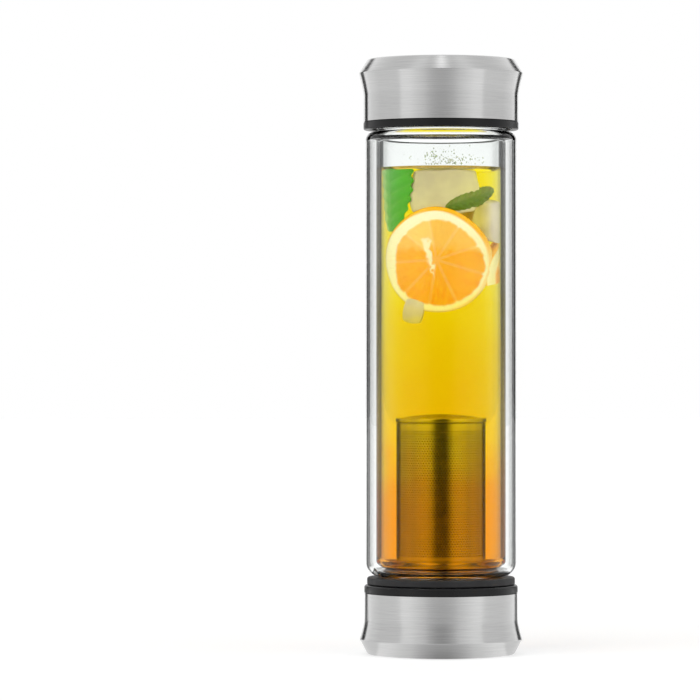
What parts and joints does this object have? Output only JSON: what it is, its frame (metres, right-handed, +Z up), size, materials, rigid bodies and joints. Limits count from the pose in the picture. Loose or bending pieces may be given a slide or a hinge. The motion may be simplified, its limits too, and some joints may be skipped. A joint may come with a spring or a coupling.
{
  "type": "tea infuser bottle",
  "caption": "Double-walled glass tea bottle with brushed steel screw caps at top and base, and a perforated steel infuser that stands inside on the base cap.",
  "frame": {"origin": "middle of the base cap's flat underside, on the axis, at floor level", "axes": "+Z up along the bottle's axis, from the base cap to the top cap; the sealed vent lies low on the glass towards -X and slightly towards -Y"},
  "size_m": [0.0692, 0.0692, 0.25],
  "materials": {
    "brushed_steel": "fine horizontal brushing",
    "liner_steel": "satin",
    "basket_steel": "satin, finely perforated",
    "black_plastic": "semi-gloss moulding",
    "black_silicone": "matt",
    "clear_silicone": "milky, translucent",
    "clear_glass": "clear, polished"
  },
  "bodies": {
    "base_cap": {"base_cap_shell": "brushed_steel", "base_cap_inner": "black_plastic", "infuser_socket": "black_plastic", "base_cap_liner": "liner_steel"},
    "infuser": {"infuser_collar": "basket_steel", "infuser_wall": "basket_steel", "infuser_end": "basket_steel", "infuser_ring": "clear_silicone"},
    "base_gasket": {"base_gasket": "black_silicone"},
    "base_seal": {"base_lip_seal": "clear_silicone"},
    "glass": {"glass_body": "clear_glass", "vent_plug": "clear_silicone"},
    "top_seal": {"top_cap_seal": "clear_silicone"},
    "top_liner": {"top_cap_liner": "liner_steel"},
    "top_cap": {"top_cap_shell": "brushed_steel", "top_cap_inner": "black_plastic"}
  },
  "joints": [
    {"name": "infuser_pull", "type": "slide", "parent": "base_cap", "child": "infuser", "axis": [0, 0, 1], "range_m": [0, 0.016]},
    {"name": "glass_lift_off", "type": "slide", "parent": "base_cap", "child": "base_gasket", "axis": [0, 0, 1], "range_m": [0, 0.11]},
    {"name": "glass_thread_rise", "type": "slide", "parent": "base_gasket", "child": "base_seal", "axis": [0, 0, 1], "range_m": [0, 0.0045]},
    {"name": "glass_unscrew", "type": "hinge", "parent": "base_seal", "child": "glass", "pos_m": [0, 0, 0.0327], "axis": [0, 0, 1], "range_deg": [0, 540]},
    {"name": "top_cap_lift_off", "type": "slide", "parent": "glass", "child": "top_seal", "axis": [0, 0, 1], "range_m": [0, 0.045]},
    {"name": "top_cap_thread_rise", "type": "slide", "parent": "top_seal", "child": "top_liner", "axis": [0, 0, 1], "range_m": [0, 0.0045]},
    {"name": "top_cap_unscrew", "type": "hinge", "parent": "top_liner", "child": "top_cap", "pos_m": [0, 0, 0.2204], "axis": [0, 0, 1], "range_deg": [0, 540]}
  ],
  "couplings": [
    {"joint": "glass_thread_rise", "follows": "glass_unscrew", "m_per_rad": 0.00047746},
    {"joint": "top_cap_thread_rise", "follows": "top_cap_unscrew", "m_per_rad": 0.00047746}
  ]
}
